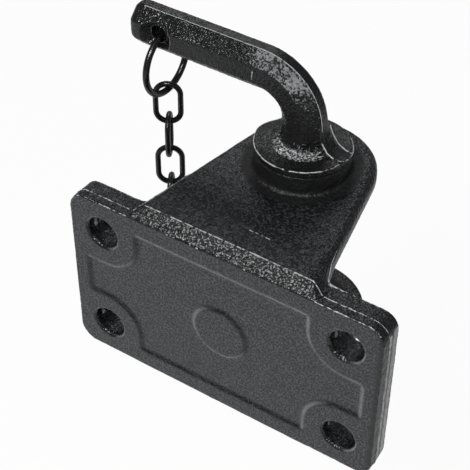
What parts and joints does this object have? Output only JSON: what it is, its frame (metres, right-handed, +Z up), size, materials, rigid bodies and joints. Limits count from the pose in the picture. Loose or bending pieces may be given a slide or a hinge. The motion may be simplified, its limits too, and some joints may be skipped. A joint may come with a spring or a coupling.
{
  "type": "bolt-on drawbar jaw with hitch pin",
  "caption": "Bolt-on clevis jaw that holds a drawbar eye, with an L-handled hitch pin and a chained linch pin.",
  "frame": {"origin": "centre of the four bolt holes, in the plane of the mounting face", "axes": "+X across the flange, to the right as seen from outside the mounting face; +Y from the mounting face to the nose of the jaws; +Z up along the hitch pin"},
  "size_m": [0.1635, 0.0992, 0.2262],
  "materials": {
    "jaw_paint": "black paint on a grainy casting, semi-gloss",
    "pin_paint": "black paint on a rough forging, gloss on the worn edges",
    "ring_wire": "blackened steel wire",
    "chain_wire": "blackened steel wire",
    "linch_steel": "blackened steel"
  },
  "bodies": {
    "jaw_body": {"jaw_body": "jaw_paint"},
    "hitch_pin": {"hitch_pin": "pin_paint"},
    "handle_ring": {"handle_ring": "ring_wire"},
    "chain_link_1": {"chain_link_1": "chain_wire"},
    "chain_link_2": {"chain_link_2": "chain_wire"},
    "chain_link_3": {"chain_link_3": "chain_wire"},
    "chain_link_4": {"chain_link_4": "chain_wire"},
    "chain_link_5": {"chain_link_5": "chain_wire"},
    "chain_link_6": {"chain_link_6": "chain_wire"},
    "chain_link_7": {"chain_link_7": "chain_wire"},
    "linch_ring": {"linch_ring": "chain_wire"},
    "linch_pin": {"linch_pin": "linch_steel"},
    "linch_bail": {"linch_bail": "linch_steel"}
  },
  "joints": [
    {"name": "pin_lift", "type": "slide", "parent": "jaw_body", "child": "hitch_pin", "axis": [0, 0, 1], "range_m": [0, 0.118]},
    {"name": "ring_swing", "type": "hinge", "parent": "hitch_pin", "child": "handle_ring", "pos_m": [-0.0706, 0.0655, 0.09011], "axis": [0, 1, 0], "range_deg": [-8, 90]},
    {"name": "link_1_swing", "type": "hinge", "parent": "handle_ring", "child": "chain_link_1", "pos_m": [-0.0706, 0.0655, 0.05931], "axis": [0, -1, 0], "range_deg": [-25, 8]},
    {"name": "link_2_swing", "type": "hinge", "parent": "chain_link_1", "child": "chain_link_2", "pos_m": [-0.0706, 0.0655, 0.04151], "axis": [0.8746, 0.4848, 0], "range_deg": [-20, 20]},
    {"name": "link_3_swing", "type": "hinge", "parent": "chain_link_2", "child": "chain_link_3", "pos_m": [-0.0706, 0.0655, 0.02351], "axis": [0.4848, -0.8746, 0], "range_deg": [-20, 20]},
    {"name": "link_4_swing", "type": "hinge", "parent": "chain_link_3", "child": "chain_link_4", "pos_m": [-0.0706, 0.0655, 0.00551], "axis": [-0.8746, -0.4848, 0], "range_deg": [-20, 20]},
    {"name": "link_5_swing", "type": "hinge", "parent": "chain_link_4", "child": "chain_link_5", "pos_m": [-0.0706, 0.0655, -0.01249], "axis": [-0.4848, 0.8746, 0], "range_deg": [-20, 20]},
    {"name": "link_6_swing", "type": "hinge", "parent": "chain_link_5", "child": "chain_link_6", "pos_m": [-0.0706, 0.0655, -0.03049], "axis": [0.8746, 0.4848, 0], "range_deg": [-20, 20]},
    {"name": "link_7_swing", "type": "hinge", "parent": "chain_link_6", "child": "chain_link_7", "pos_m": [-0.0706, 0.0655, -0.04849], "axis": [0.4848, -0.8746, 0], "range_deg": [-20, 20]},
    {"name": "linch_ring_swing", "type": "hinge", "parent": "chain_link_7", "child": "linch_ring", "pos_m": [-0.0706, 0.0655, -0.06649], "axis": [-0.8746, -0.4848, 0], "range_deg": [-20, 20]},
    {"name": "linch_pin_swing", "type": "hinge", "parent": "linch_ring", "child": "linch_pin", "pos_m": [-0.0706, 0.0655, -0.07599], "axis": [-0.4848, 0.8746, 0], "range_deg": [-20, 20]},
    {"name": "bail_swing", "type": "hinge", "parent": "linch_pin", "child": "linch_bail", "pos_m": [-0.0706, 0.0655, -0.08425], "axis": [0.8746, 0.4848, 0], "range_deg": [0, 110]}
  ]
}
